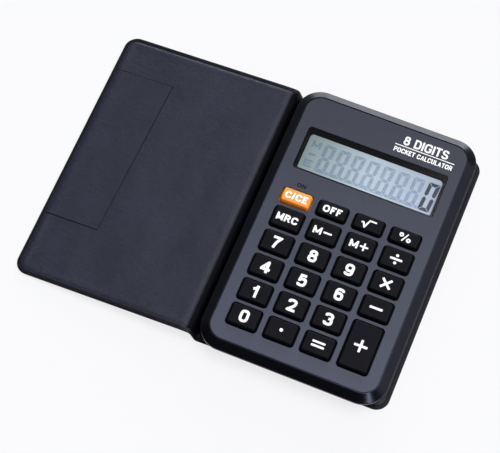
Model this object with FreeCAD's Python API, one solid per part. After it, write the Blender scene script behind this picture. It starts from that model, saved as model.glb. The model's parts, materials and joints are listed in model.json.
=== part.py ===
import FreeCAD, Part
import math
import os

os.makedirs("parts", exist_ok=True)

# A slim eight-digit pocket calculator, taped into a folding vinyl wallet that lies open.
# Millimetres. The origin is on the table under the middle of the calculator.
# +X is the calculator's right, +Y is towards the display end, +Z is up.

# Calculator body
body_width = 62.6
body_length = 98.2
body_corner = 8.3
face_height = 8.2
bevel_width = 3.3
bevel_drop = 1.8
skirt_depth = 0.8
front_wall = 1.2
rear_wall = 1.0
floor_thickness = 0.9
deck_thickness = 1.2
plate_thickness = 0.5
plate_gap = 0.2
lip_width = 0.25
rim_fillet = 0.35
parting_step = 0.25
draft_inset = 1.45
foot_chamfer = 0.3
tongue_gap = 0.1
tongue_thickness = 0.6
tongue_headroom = 0.2

# Keypad
key_width = 9.9
key_length = 7.25
short_key_length = 5.25
key_pitch_x = 12.46
key_pitch_y = 9.1
short_row_y = 7.95
main_row_y = -0.22
key_corner = 0.9
key_rise = 1.2
key_travel = 0.8
key_collar = 0.15
key_slope_inset = 0.4
key_crown_fillet = 0.45
key_clearance = 0.45
flange_reach = 0.8
flange_thickness = 0.7
flange_gap = 0.1

# Display
window_width = 48.8
window_length = 16.2
window_corner = 1.2
window_thickness = 0.8
window_recess = 0.1
window_clearance = 0.08
window_ledge = 0.5
display_y = 26.4
funnel_inset = 1.25
funnel_wall = 1.0
panel_depth = 2.7
panel_gap = 0.05
glass_width = 49.2
glass_thickness = 0.55
film_thickness = 0.15
glass_top_y = 34.3
glass_length = 16.8
glass_ledge = 2.2
film_margin = 0.4
foam_margin = 1.2
zebra_width = 46.0
zebra_gap = 0.15

# Circuit board and rubber keypad mat
board_width = 56.0
board_length = 91.7
board_y = 0.35
board_corner = 5.0
board_thickness = 0.8
board_standoff = 0.8
board_play = 0.3
chip_radius = 4.5
chip_height = 0.65
capacitor_length = 1.6
capacitor_width = 0.8
capacitor_height = 0.6
capacitor_xs = (-8.8, 8.8, 11.8)
mat_width = 49.2
mat_margin = 0.7
mat_corner = 1.5
mat_thickness = 0.4
dome_foot_radius = 2.9
dome_head_radius = 1.7
dome_skin = 0.45
dome_gap = 0.05
pill_radius = 1.3
pill_thickness = 0.25
pill_gap = 0.05
pill_inset = 0.1

# Button cell and its door
cell_radius = 5.8
cell_height = 3.05
cell_cap_radius = 4.6
cell_cap_height = 0.35
cell_fillet = 0.3
cell_x = 14.0
cell_y = 40.6
cell_gap = 0.5
contact_strip = 0.15
contact_width = 4.0
contact_foot = 2.8
contact_reach = 1.0
contact_gap = 0.02
contact_height = 2.4
door_width = 16.0
door_length = 12.4
door_corner = 1.0
door_clearance = 0.12
grip_count = 4
grip_pitch = 1.5
grip_width = 0.6
grip_length = 8.0
grip_depth = 0.25

# Screws
screw_x = 26.6
case_screw_y = 43.0
board_screw_rows = (13.5, -9.8, -33.1)
case_boss_radius = 1.7
case_screw_radius = 0.8
case_head_radius = 1.5
board_boss_radius = 1.4
board_screw_radius = 0.6
board_head_radius = 1.2
screw_clearance = 0.02
hole_play = 0.1
head_play = 0.05
head_height = 0.6
recess_share = 0.7
recess_width = 0.3
recess_depth = 0.3
case_screw_reach = 2.0
board_screw_reach = 1.5

# Wallet: both panels are skin, board and liner, sealed together around the border
sheet_thickness = 1.2
skin_thickness = 0.35
cover_skin_thickness = 0.3
cover_board_thickness = 0.4
back_board_thickness = 0.5
pocket_thickness = 0.3
seal_border = 2.2
wallet_length = 94.0
wallet_corner = 4.5
fold_corner = 0.8
least_corner = 0.3
back_left = -31.0
back_right = 32.9
tape_thickness = 0.2
tape_width = 10.0
tape_length = 76.0
tape_corner = 0.5
tape_x = 14.0
spine_gap = 0.35
spine_outer_thickness = 0.35
spine_inner_thickness = 0.3
cover_width = 62.4
cover_edge_x = -32.95
cover_edge_height = 5.3
notch_right = 41.0
notch_low_y = -24.9
notch_high_y = 33.2

# Heights that follow from the stack
rear_z = sheet_thickness + tape_thickness
floor_z = rear_z + floor_thickness
board_z = floor_z + board_standoff
board_top = board_z + board_thickness
plate_z = face_height - plate_thickness
deck_z = plate_z - deck_thickness
rim_z = face_height - bevel_drop
parting_z = rim_z - skirt_depth
window_z = face_height - window_recess - window_thickness
panel_top = face_height - panel_depth
flange_top = deck_z - flange_gap
flange_z = flange_top - flange_thickness
mat_top = board_top + mat_thickness
dome_roof = board_top + key_travel + pill_gap + pill_thickness
cell_z = floor_z + door_clearance
column_xs = [key_pitch_x * (column - 1.5) for column in range(4)]
row_ys = [short_row_y] + [main_row_y - key_pitch_y * row for row in range(5)]

key_names = (
    ("key_clear", "key_off", "key_root", "key_percent"),
    ("key_memory_recall", "key_memory_minus", "key_memory_plus", "key_divide"),
    ("key_7", "key_8", "key_9", "key_multiply"),
    ("key_4", "key_5", "key_6", "key_minus"),
    ("key_1", "key_2", "key_3", "key_plus"),
    ("key_0", "key_point", "key_equals"),
)


def point(x, y, z):
    return FreeCAD.Vector(x, y, z)


def outline(x0, x1, y0, y1, radii, z):
    """Closed wire of a rectangle; radii run anticlockwise from the corner at (x1, y1)."""
    corners = ((x1, y1, 0), (x0, y1, 90), (x0, y0, 180), (x1, y0, 270))
    arcs = []
    for (x, y, start), radius in zip(corners, radii):
        inward_x = -radius if x == x1 else radius
        inward_y = -radius if y == y1 else radius
        centre = point(x + inward_x, y + inward_y, z)
        arcs.append(Part.makeCircle(radius, centre, point(0, 0, 1), start, start + 90))
    edges = []
    for arc, following in zip(arcs, arcs[1:] + arcs[:1]):
        arc_end = arc.valueAt(arc.LastParameter)
        next_start = following.valueAt(following.FirstParameter)
        edges.append(arc)
        edges.append(Part.makeLine(arc_end, next_start))
    return Part.Wire(edges)


def centred(width, length, radius, z, x=0, y=0):
    return outline(x - width / 2, x + width / 2, y - length / 2, y + length / 2, [radius] * 4, z)


def plate(wire, thickness):
    return Part.Face(wire).extrude(point(0, 0, thickness))


def block(width, length, radius, z0, z1, x=0, y=0):
    return plate(centred(width, length, radius, z0, x, y), z1 - z0)


def disc(radius, z0, z1, x, y):
    return Part.makeCylinder(radius, z1 - z0, point(x, y, z0))


def bar(x0, x1, y0, y1, z0, z1):
    return Part.makeBox(x1 - x0, y1 - y0, z1 - z0, point(x0, y0, z0))


def body_form(sections):
    """Solid through outlines of the body; a section is (inset from the rim, height)."""
    wires = []
    for inset, z in sections:
        wires.append(centred(body_width - 2 * inset, body_length - 2 * inset, body_corner - inset, z))
    return Part.makeLoft(wires, True, True)


def key_cells():
    """Every key as (name, x, y, length)."""
    cells = []
    for row, names in enumerate(key_names):
        for column, name in enumerate(names):
            length = short_key_length if row == 0 else key_length
            y = row_ys[row]
            if name == "key_plus":
                length += key_pitch_y
                y -= key_pitch_y / 2
            cells.append((name, column_xs[column], y, length))
    return cells


def case_screw_places():
    return [(x, y) for x in (-screw_x, screw_x) for y in (-case_screw_y, case_screw_y)]


def board_screw_places():
    return [(x, y) for x in (-screw_x, screw_x) for y in board_screw_rows]


def key_holes(z0, z1):
    grow = 2 * key_clearance
    radius = key_corner + key_clearance
    return [block(key_width + grow, length + grow, radius, z0, z1, x, y) for _, x, y, length in key_cells()]


def face_plate():
    sheet = block(
        body_width - 2 * bevel_width,
        body_length - 2 * bevel_width,
        body_corner - bevel_width,
        plate_z,
        face_height,
    )
    display = block(window_width, window_length, window_corner, plate_z, face_height, 0, display_y)
    return sheet.cut(key_holes(plate_z, face_height) + [display])


def display_funnel():
    """Space between the window's ledge and the display panel, narrowing downwards."""
    top = 2 * window_ledge
    bottom = 2 * funnel_inset
    wires = [
        centred(window_width - bottom, window_length - bottom, window_corner, panel_top, 0, display_y),
        centred(window_width - top, window_length - top, window_corner, window_z, 0, display_y),
    ]
    return Part.makeLoft(wires, True, True)


def boss(radius, hole_radius, z0, x, y):
    return disc(radius, z0, deck_z, x, y).cut(disc(hole_radius, z0, deck_z, x, y))


def front_case():
    bevel_inset = bevel_width - plate_gap - lip_width
    form = body_form([(0, parting_z), (0, rim_z), (bevel_inset, face_height)])
    rim = [edge for edge in form.Edges if all(abs(v.Z - rim_z) < 0.01 for v in edge.Vertexes)]
    form = form.makeFillet(rim_fillet, rim)
    cavity = body_form([(front_wall, parting_z), (front_wall, deck_z)])
    recess = body_form([(bevel_width - plate_gap, plate_z), (bevel_width - plate_gap, face_height)])
    funnel_size = 2 * (funnel_wall - funnel_inset)
    funnel_block = block(
        window_width + funnel_size,
        window_length + funnel_size,
        window_corner,
        panel_top + panel_gap,
        deck_z,
        0,
        display_y,
    )
    window_seat = block(window_width, window_length, window_corner, window_z, plate_z, 0, display_y)
    shell = form.cut([cavity, recess]).fuse(funnel_block)
    shell = shell.cut(key_holes(deck_z, plate_z) + [window_seat, display_funnel()])
    bosses = []
    for x, y in case_screw_places():
        bosses.append(boss(case_boss_radius, case_screw_radius + screw_clearance, board_z, x, y))
    for x, y in board_screw_places():
        bosses.append(boss(board_boss_radius, board_screw_radius + screw_clearance, board_top, x, y))
    return shell.fuse(bosses).removeSplitter()


def rear_tongue():
    """Thin wall that stands up from the rear case, inside the front case."""
    outside = front_wall + tongue_gap
    inside = outside + tongue_thickness
    low = parting_z - rear_wall
    high = deck_z - tongue_headroom
    ring = body_form([(outside, low), (outside, high)])
    return ring.cut(body_form([(inside, low), (inside, high)]))


def rear_case():
    slope = (draft_inset - parting_step) / (parting_z - rear_z - foot_chamfer)
    outer = body_form(
        [
            (draft_inset + foot_chamfer, rear_z),
            (draft_inset, rear_z + foot_chamfer),
            (parting_step, parting_z),
        ]
    )
    floor_inset = draft_inset - slope * (floor_z - rear_z - foot_chamfer) + rear_wall
    inner = body_form([(floor_inset, floor_z), (parting_step + rear_wall, parting_z)])
    shell = outer.cut(inner).fuse(rear_tongue())
    cuts = [block(door_width, door_length, door_corner, rear_z, floor_z, cell_x, cell_y)]
    for x, y in case_screw_places():
        shell = shell.fuse(disc(case_boss_radius, floor_z, board_z, x, y))
        cuts.append(disc(case_screw_radius + hole_play, rear_z, board_z, x, y))
        cuts.append(disc(case_head_radius + hole_play, rear_z, rear_z + head_height + hole_play, x, y))
    return shell.cut(cuts).removeSplitter()


def battery_door():
    width = door_width - 2 * door_clearance
    length = door_length - 2 * door_clearance
    door = block(width, length, door_corner - door_clearance, rear_z, floor_z, cell_x, cell_y)
    half = grip_length / 2
    grips = []
    for step in range(grip_count):
        y = cell_y + grip_pitch * (step - (grip_count - 1) / 2) - grip_width / 2
        grips.append(bar(cell_x - half, cell_x + half, y, y + grip_width, rear_z, rear_z + grip_depth))
    return door.cut(grips)


def button_cell():
    can_height = cell_height - cell_cap_height
    can = disc(cell_radius, cell_z, cell_z + can_height, cell_x, cell_y)
    lower_rim = [edge for edge in can.Edges if edge.BoundBox.ZMax < cell_z + cell_fillet]
    can = can.makeFillet(cell_fillet, lower_rim)
    cap = disc(cell_cap_radius, cell_z + can_height, cell_z + cell_height, cell_x, cell_y)
    return can.fuse(cap).removeSplitter()


def positive_contact():
    """Foot on the board and an upright leaf against the side of the cell."""
    leaf_x = cell_x - cell_radius - contact_strip - contact_gap
    low_y = cell_y - contact_width / 2
    high_y = cell_y + contact_width / 2
    foot = bar(leaf_x - contact_foot, leaf_x, low_y, high_y, board_top, board_top + contact_strip)
    leaf = bar(leaf_x, leaf_x + contact_strip, low_y, high_y, board_top, cell_z + contact_height)
    return foot.fuse(leaf).removeSplitter()


def negative_contact():
    """Foot on the board, a riser beside the cell and an arm over its cap."""
    riser_x = cell_x + cell_radius + cell_gap + contact_strip
    low_y = cell_y - contact_width / 2
    high_y = cell_y + contact_width / 2
    arm_z = cell_z + cell_height + contact_gap
    foot = bar(riser_x, riser_x + contact_foot, low_y, high_y, board_top, board_top + contact_strip)
    riser = bar(riser_x, riser_x + contact_strip, low_y, high_y, board_top, arm_z + contact_strip)
    arm = bar(cell_x - contact_reach, riser_x, low_y, high_y, arm_z, arm_z + contact_strip)
    return foot.fuse([riser, arm]).removeSplitter()


def circuit_board():
    board = block(board_width, board_length, board_corner, board_z, board_top, 0, board_y)
    cuts = [disc(cell_radius + cell_gap, board_z, board_top, cell_x, cell_y)]
    for x, y in case_screw_places():
        cuts.append(disc(case_boss_radius + board_play, board_z, board_top, x, y))
    for x, y in board_screw_places():
        cuts.append(disc(board_screw_radius + hole_play, board_z, board_top, x, y))
    return board.cut(cuts)


def chip_blob():
    """Low dome of resin under the board, covering the bare chip."""
    ball_radius = (chip_radius**2 + chip_height**2) / (2 * chip_height)
    ball = Part.makeSphere(ball_radius, point(0, display_y, board_z + ball_radius - chip_height))
    return ball.common(disc(chip_radius + chip_height, board_z - chip_height, board_z, 0, display_y))


def chip_capacitors():
    low_y = display_y - capacitor_width / 2
    high_y = display_y + capacitor_width / 2
    half = capacitor_length / 2
    low_z = board_z - capacitor_height
    return Part.makeCompound([bar(x - half, x + half, low_y, high_y, low_z, board_z) for x in capacitor_xs])


def screw(x, y, head_radius, shank_radius, head_z, tip_z):
    """Pan head underneath, shank pointing up, with a cross recess in the head."""
    head = disc(head_radius, head_z, head_z + head_height, x, y)
    shank = disc(shank_radius, head_z + head_height, tip_z, x, y)
    long = recess_share * head_radius
    short = recess_width / 2
    recess_top = head_z + recess_depth
    arms = [
        bar(x - long, x + long, y - short, y + short, head_z, recess_top),
        bar(x - short, x + short, y - long, y + long, head_z, recess_top),
    ]
    return head.fuse(shank).cut(arms)


def case_screws():
    head_z = rear_z + head_play
    tip = board_z + case_screw_reach
    return Part.makeCompound(
        [screw(x, y, case_head_radius, case_screw_radius, head_z, tip) for x, y in case_screw_places()]
    )


def board_screws():
    head_z = board_z - head_height
    tip = board_top + board_screw_reach
    return Part.makeCompound(
        [screw(x, y, board_head_radius, board_screw_radius, head_z, tip) for x, y in board_screw_places()]
    )


def keypad_mat():
    """Silicone sheet on the board with one hollow dome under each key."""
    low_y = row_ys[-1] - key_length / 2 - mat_margin
    high_y = short_row_y + short_key_length / 2 + mat_margin
    mat = block(mat_width, high_y - low_y, mat_corner, board_top, mat_top, 0, (low_y + high_y) / 2)
    skirt_top = dome_roof + dome_skin / 2
    foot = dome_foot_radius - dome_skin
    domes = []
    hollows = []
    for _, x, y, _ in key_cells():
        base = point(x, y, mat_top)
        domes.append(Part.makeCone(dome_foot_radius, dome_head_radius, skirt_top - mat_top, base))
        domes.append(disc(dome_head_radius, skirt_top, flange_z - dome_gap, x, y))
        hollows.append(disc(foot, board_top, mat_top, x, y))
        hollows.append(Part.makeCone(foot, pill_radius, dome_roof - mat_top, base))
    return mat.fuse(domes).cut(hollows).removeSplitter()


def contact_pills():
    radius = pill_radius - pill_inset
    low = dome_roof - pill_thickness
    return Part.makeCompound([disc(radius, low, dome_roof, x, y) for _, x, y, _ in key_cells()])


def key_cap(x, y, length):
    """Straight sides up to just above the plate, then sloping shoulders and a soft crown."""
    collar_z = face_height + key_collar
    top_z = face_height + key_rise
    shrink = 2 * key_slope_inset
    wires = [
        centred(key_width, length, key_corner, collar_z, x, y),
        centred(key_width - shrink, length - shrink, key_corner - key_slope_inset, top_z, x, y),
    ]
    shoulders = Part.makeLoft(wires, True, True)
    top_edges = [edge for edge in shoulders.Edges if edge.BoundBox.ZMin > collar_z + key_collar]
    shoulders = shoulders.makeFillet(key_crown_fillet, top_edges)
    sides = block(key_width, length, key_corner, flange_top, collar_z, x, y)
    reach = 2 * flange_reach
    flange = block(key_width + reach, length + reach, key_corner, flange_z, flange_top, x, y)
    return shoulders.fuse([sides, flange]).removeSplitter()


def display_window():
    shrink = 2 * window_clearance
    width = window_width - shrink
    length = window_length - shrink
    return block(width, length, window_corner, window_z, window_z + window_thickness, 0, display_y)


def glass_sheet(low_y, z0, z1, margin=0.0):
    half = glass_width / 2 - margin
    return bar(-half, half, low_y + margin, glass_top_y - margin, z0, z1)


def zebra_connector(low_y, high_y, top):
    """Striped rubber bar that joins the glass ledge to the board."""
    half = zebra_width / 2
    return bar(-half, half, low_y, high_y, board_top, top)


def display_layers():
    """The liquid crystal sandwich, from the front film down to the foam on the board."""
    full_low = glass_top_y - glass_length
    short_low = full_low + glass_ledge
    front_top = panel_top - film_thickness
    rear_top = front_top - glass_thickness
    rear_low = rear_top - glass_thickness
    reflector_low = rear_low - film_thickness
    return {
        "lcd_front_polariser": glass_sheet(short_low, front_top, panel_top, film_margin),
        "lcd_front_glass": glass_sheet(full_low, rear_top, front_top),
        "lcd_rear_glass": glass_sheet(short_low, rear_low, rear_top),
        "lcd_reflector": glass_sheet(short_low, reflector_low, rear_low, film_margin),
        "lcd_foam_pad": glass_sheet(short_low, board_top, reflector_low, foam_margin),
        "zebra_connector": zebra_connector(full_low + zebra_gap, short_low - zebra_gap, rear_top),
    }


def tape_strips():
    strips = []
    for x in (-tape_x, tape_x):
        strips.append(block(tape_width, tape_length, tape_corner, sheet_thickness, rear_z, x, 0))
    return Part.makeCompound(strips)


def panel_outline(x0, x1, z, inset, outer_on_right):
    """Outline of a wallet panel: generous corners on the free side, tight ones at the fold."""
    free = wallet_corner - inset
    fold = max(fold_corner - inset, least_corner)
    radii = (free, fold, fold, free) if outer_on_right else (fold, free, free, fold)
    half = wallet_length / 2 - inset
    return outline(x0 + inset, x1 - inset, -half, half, radii, z)


def wallet_panel(x0, x1, z0, skin, board, liner_top, outer_on_right):
    """Skin, board and liner of one panel; the liner is a tray whose border meets the skin."""
    skin_part = plate(panel_outline(x0, x1, z0, 0, outer_on_right), skin)
    board_low = z0 + skin
    board_part = plate(panel_outline(x0, x1, board_low, seal_border, outer_on_right), board)
    liner = plate(panel_outline(x0, x1, board_low, 0, outer_on_right), liner_top - board_low)
    return skin_part, board_part, liner.cut(board_part)


def cover_pocket(z0, z1):
    """Card pocket sheet with a rectangular notch open to the free edge."""
    sheet = plate(panel_outline(-cover_width, 0, z0, 0, False), z1 - z0)
    return sheet.cut(bar(-cover_width, -notch_right, notch_low_y, notch_high_y, z0, z1))


def cover_tilt():
    """The cover's free edge rests on the table and its fold edge is held up by the spine."""
    half = sheet_thickness / 2
    return math.degrees(math.asin((cover_edge_height - half) / cover_width))


def lay_cover(shape):
    placed = shape.copy()
    placed.rotate(point(0, 0, 0), point(0, 1, 0), -cover_tilt())
    placed.translate(point(cover_edge_x, 0, cover_edge_height))
    return placed


def cover_parts():
    half = sheet_thickness / 2
    skin, board, liner = wallet_panel(
        -cover_width, 0, -half, cover_skin_thickness, cover_board_thickness, half - pocket_thickness, False
    )
    pocket = cover_pocket(half - pocket_thickness, half)
    return {
        "cover_skin": lay_cover(skin),
        "cover_board": lay_cover(board),
        "cover_liner": lay_cover(liner),
        "cover_pocket": lay_cover(pocket),
    }


def spine_parts():
    """Two plies of vinyl, leaning out from the back panel's fold up to the cover's fold."""
    foot_x = back_left - spine_gap
    foot_z = sheet_thickness / 2
    head_x = cover_edge_x + spine_gap / 2
    head_z = cover_edge_height - sheet_thickness / 2 - spine_gap / 2
    length = math.hypot(head_x - foot_x, head_z - foot_z)
    lean = math.degrees(math.atan2(head_x - foot_x, head_z - foot_z))
    half = wallet_length / 2
    plies = {
        "spine_skin": bar(-spine_outer_thickness, 0, -half, half, 0, length),
        "spine_liner": bar(0, spine_inner_thickness, -half, half, 0, length),
    }
    for ply in plies.values():
        ply.rotate(point(0, 0, 0), point(0, 1, 0), lean)
        ply.translate(point(foot_x, 0, foot_z))
    return plies


def back_parts():
    skin, board, liner = wallet_panel(
        back_left, back_right, 0, skin_thickness, back_board_thickness, sheet_thickness, True
    )
    return {"back_skin": skin, "back_board": board, "back_liner": liner}


def all_nodes():
    nodes = {
        "face_plate": face_plate(),
        "front_case": front_case(),
        "rear_case": rear_case(),
        "battery_door": battery_door(),
        "button_cell": button_cell(),
        "positive_contact": positive_contact(),
        "negative_contact": negative_contact(),
        "circuit_board": circuit_board(),
        "chip_blob": chip_blob(),
        "chip_capacitors": chip_capacitors(),
        "case_screws": case_screws(),
        "board_screws": board_screws(),
        "keypad_mat": keypad_mat(),
        "contact_pills": contact_pills(),
        "display_window": display_window(),
        "tape_strips": tape_strips(),
    }
    nodes.update(display_layers())
    nodes.update(back_parts())
    nodes.update(spine_parts())
    nodes.update(cover_parts())
    for name, x, y, length in key_cells():
        nodes[name] = key_cap(x, y, length)
    return nodes


for node_name, node_shape in all_nodes().items():
    node_shape.exportStep("parts/" + node_name + ".step")
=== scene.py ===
import json
import math
import bmesh
import bpy
from mathutils import Matrix, Vector, geometry, noise
from mathutils.bvhtree import BVHTree


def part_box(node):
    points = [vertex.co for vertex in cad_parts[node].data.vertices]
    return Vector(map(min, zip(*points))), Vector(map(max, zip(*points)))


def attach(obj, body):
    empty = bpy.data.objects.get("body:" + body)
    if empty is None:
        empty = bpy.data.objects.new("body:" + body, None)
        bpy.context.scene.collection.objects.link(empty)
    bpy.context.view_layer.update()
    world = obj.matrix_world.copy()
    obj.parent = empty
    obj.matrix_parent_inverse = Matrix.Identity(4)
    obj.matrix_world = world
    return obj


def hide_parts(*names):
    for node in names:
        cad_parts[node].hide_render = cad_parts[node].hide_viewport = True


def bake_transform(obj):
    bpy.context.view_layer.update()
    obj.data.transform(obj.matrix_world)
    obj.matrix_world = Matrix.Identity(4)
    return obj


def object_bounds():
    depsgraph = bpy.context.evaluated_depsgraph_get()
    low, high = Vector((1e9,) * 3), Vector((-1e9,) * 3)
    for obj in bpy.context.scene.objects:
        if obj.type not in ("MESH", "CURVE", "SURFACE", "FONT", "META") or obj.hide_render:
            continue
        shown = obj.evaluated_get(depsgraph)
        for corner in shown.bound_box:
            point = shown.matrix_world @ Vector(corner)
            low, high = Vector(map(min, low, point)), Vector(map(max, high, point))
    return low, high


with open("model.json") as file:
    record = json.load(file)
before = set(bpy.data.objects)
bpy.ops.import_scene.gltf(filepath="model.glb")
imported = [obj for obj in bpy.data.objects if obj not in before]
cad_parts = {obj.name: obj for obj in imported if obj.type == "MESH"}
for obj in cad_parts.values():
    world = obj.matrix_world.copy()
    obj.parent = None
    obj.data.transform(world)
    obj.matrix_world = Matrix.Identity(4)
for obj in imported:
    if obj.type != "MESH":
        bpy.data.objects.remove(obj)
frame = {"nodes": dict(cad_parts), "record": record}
cad_low, cad_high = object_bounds()
cad_nodes = frame["nodes"]
mm = 0.001

# Camera: where it looks, from where, and its lens
camera_target = Vector((-28.87, -6.89, 8.2)) * mm
camera_distance = 578.86 * mm
camera_azimuth = 21.06
camera_elevation = 65.73
camera_roll = 1.27
camera_lens = 129.6

# Studio: level of the room in front and behind, and round patches of light as
# (direction, full inside this angle, gone outside this angle, strength)
sky_level = 1.0
room_front = 0.05
room_back = 0.2
sky_patches = (
    ((0.3, 0.12, 0.95), 12.0, 30.0, 6.3),
    ((-0.15, 0.97, 0.12), 9.0, 26.0, 8.5),
    ((0.75, 0.3, 0.6), 8.0, 28.0, 0.8),
    ((0.5, -0.44, 0.745), 2.0, 8.0, 18.0),
)
floor_tone = 0.15
floor_glow = 0.775

# Wallet sheets, millimetres
wallet_corner = 4.5
fold_radius = 1.3
foot_radius = 1.3
spine_split = 1.45
spine_stack = 0.65
sheet_stack = 1.2
stack_grow_start = 1.6
stack_grow_end = 6.5
edge_drop = 0.2
skin_thickness = 0.25
ring_width = 1.35
sheet_inset = 1.25
lining_thickness = 0.14
pocket_thickness = 0.28
back_lining_thickness = 0.3
cover_bend_reach = 5.0

# Welded groove of the outer skin, millimetres
groove_depth = 0.1
groove_inset = 1.9
groove_width = 0.28

# Dip of the inner sheets, millimetres, as (distance from the sealed edge, depth)
shoulder = ((1.2, 0.34), (1.5, 0.32), (1.8, 0.22), (2.2, 0.08), (2.7, 0.0), (3.4, -0.02), (5.0, 0.0))

# Grid of the sheets, millimetres: lines at these distances from an edge, then a wide
# pitch, with a narrow pitch where the sheets fold
rim_lines = [0.0, 0.05, 0.13, 0.24, 0.37, 0.5, 0.7, 0.95, 1.2, 1.35]
rim_lines += [1.5, 1.65, 1.8, 2.0, 2.2, 2.45, 2.7, 3.0, 3.4, 4.0]
panel_pitch = 1.3
fold_pitch = 0.22
fold_reach = 10.0

# Notch of the card pocket and the flap that fills it, millimetres
notch_depth = 21.4
notch_low = -24.9
notch_high = 33.2
notch_lean = 0.035
lean_reach = 9.0
flap_rise = 0.06
flap_sink = 0.37
lining_start = 9.0

# Painted shade in the fold of the cover: its tone, and where it starts and ends beside the fold, millimetres
fold_shade = 0.1
fold_fade_start = 2.6
fold_fade_end = 1.2

# Legends, millimetres
digit_height = 4.3
print_thickness = 0.015
print_lift = 0.006

# Keypad mat, millimetres: faces this close to a key's centre belong to its dome, and
# open rims this close are closed again
dome_reach = 2.85
rim_reach = 3.3

# Display, millimetres
funnel_margin = 2.0
digit_pitch = 5.18
first_digit_x = -15.6
digit_count = 8
digit_middle_y = 26.15
segment_height = 10.7
segment_width = 3.85
segment_stroke = 1.25
segment_gap = 0.13
segment_slant = 0.065


# -------- shader helpers


def add_node(tree, kind, inputs=None, **settings):
    made = tree.nodes.new("ShaderNode" + kind)
    for name, value in settings.items():
        setattr(made, name, value)
    for socket, value in (inputs or {}).items():
        if isinstance(value, bpy.types.NodeSocket):
            tree.links.new(value, made.inputs[socket])
        else:
            made.inputs[socket].default_value = value
    return made


def new_material(name="look"):
    material = bpy.data.materials.new(name)
    material.use_nodes = True
    material.node_tree.nodes.clear()
    return material, material.node_tree


def close_material(tree, shader):
    output = add_node(tree, "OutputMaterial")
    tree.links.new(shader.outputs[0], output.inputs["Surface"])


def principled(material, colour, roughness, normal, gloss=0.5, **more):
    """Closes a material with the usual surface."""
    inputs = {"Base Color": colour, "Roughness": roughness, "Normal": normal, "Specular IOR Level": gloss}
    close_material(material.node_tree, add_node(material.node_tree, "BsdfPrincipled", {**inputs, **more}))
    return material


def mixed(material, share, first, second):
    """Closes a material with two shaders mixed by share."""
    inputs = {0: share, 1: first.outputs[0], 2: second.outputs[0]}
    close_material(material.node_tree, add_node(material.node_tree, "MixShader", inputs))
    return material


def place_of(tree):
    """Where a point is on its object, in metres."""
    return add_node(tree, "TexCoord").outputs["Object"]


def along(tree, place, axis):
    return add_node(tree, "SeparateXYZ", {"Vector": place}).outputs[axis]


def calculated(tree, operation, *values):
    return add_node(tree, "Math", dict(enumerate(values)), operation=operation).outputs["Value"]


def scaled(tree, vector, amount):
    """A place or a colour multiplied by an amount."""
    return add_node(tree, "VectorMath", {0: vector, 1: amount}, operation="MULTIPLY").outputs["Vector"]


def mapped(tree, value, source, target=(0.0, 1.0), **settings):
    """Maps the range source onto the range target."""
    ends = {"From Min": source[0], "From Max": source[1], "To Min": target[0], "To Max": target[1]}
    return add_node(tree, "MapRange", {"Value": value, **ends}, **settings).outputs["Result"]


def noise_of(tree, place, size, detail=3.0, roughness=0.55):
    """Noise whose features are about size millimetres wide."""
    inputs = {"Vector": place, "Scale": 1.0 / (size * mm), "Detail": detail, "Roughness": roughness}
    return add_node(tree, "TexNoise", inputs).outputs["Fac"]


def spread(tree, value, low, high):
    """Maps 0.3..0.7, where noise mostly lies, onto low..high."""
    return mapped(tree, value, (0.3, 0.7), (low, high))


def shaded(tree, colour, amount):
    """The colour multiplied by a grey value."""
    rgb = add_node(tree, "RGB")
    rgb.outputs[0].default_value = (*colour, 1.0)
    return scaled(tree, rgb.outputs[0], amount)


def bump_of(tree, height, depth, after=None):
    """Bump of depth millimetres."""
    inputs = {"Height": height, "Distance": depth * mm}
    if after is not None:
        inputs["Normal"] = after
    return add_node(tree, "Bump", inputs).outputs["Normal"]


# -------- materials


def moulded(colour, roughness, grain=0.15, depth=0.01, mottle=0.08, patch=6.0, gloss=0.5, **more):
    """Plastic, rubber or metal with a fine surface grain and slightly uneven tone and gloss."""
    material, tree = new_material()
    place = place_of(tree)
    fine = noise_of(tree, place, grain)
    broad = noise_of(tree, place, patch)
    tone = spread(tree, broad, 1.0 - mottle, 1.0 + mottle)
    rough = spread(tree, fine, roughness * 0.88, roughness * 1.12)
    return principled(material, shaded(tree, colour, tone), rough, bump_of(tree, fine, depth), gloss, **more)


def shiny_case(colour):
    """Shiny black plastic with a painted bluish tint on its reflections, and painted shade in the funnel
    round the display, where its reflections are cut low.
    """
    # Painted reflection colour: the reflections are tinted bluish.
    tint = {"Specular Tint": (0.66, 0.7, 1.0, 1.0)}
    material = moulded(colour, 0.2, grain=0.3, depth=0.003, mottle=0.1, **tint)
    tree = material.node_tree
    low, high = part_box("display_window")
    place = place_of(tree)
    inside = []
    for index, axis in enumerate(("X", "Y")):
        middle = (low[index] + high[index]) / 2
        half = (high[index] - low[index]) / 2 + funnel_margin * mm
        inside.append(calculated(tree, "COMPARE", along(tree, place, axis), middle, half))
    funnel = calculated(tree, "MULTIPLY", *inside)
    # Painted shade: the reflections are cut low inside the funnel so that the recess walls look dark.
    gloss = mapped(tree, funnel, (0.0, 1.0), (0.4, 0.03))
    tree.links.new(gloss, tree.nodes["Principled BSDF"].inputs["Specular IOR Level"])
    return material


def sprayed_plate(colour):
    """Satin metallic paint with a fine sparkle, and painted light: lighter towards the keys, darker towards
    the display.
    """
    material, tree = new_material()
    place = place_of(tree)
    fine = noise_of(tree, place, 0.16, detail=2.0)
    flakes = noise_of(tree, place, 0.35, detail=4.0)
    broad = noise_of(tree, place, 9.0)
    # Painted light: the plate's tone rises towards the keys and falls towards the display.
    painted_light_fall = mapped(tree, along(tree, place, "Y"), (-45.0 * mm, 45.0 * mm), (1.25, 0.68))
    tone = calculated(tree, "MULTIPLY", painted_light_fall, spread(tree, flakes, 0.9, 1.1))
    tone = calculated(tree, "MULTIPLY", tone, spread(tree, broad, 0.97, 1.03))
    rough = spread(tree, flakes, 0.38, 0.5)
    return principled(
        material, shaded(tree, colour, tone), rough, bump_of(tree, fine, 0.012), gloss=0.35, Metallic=0.1
    )


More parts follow.
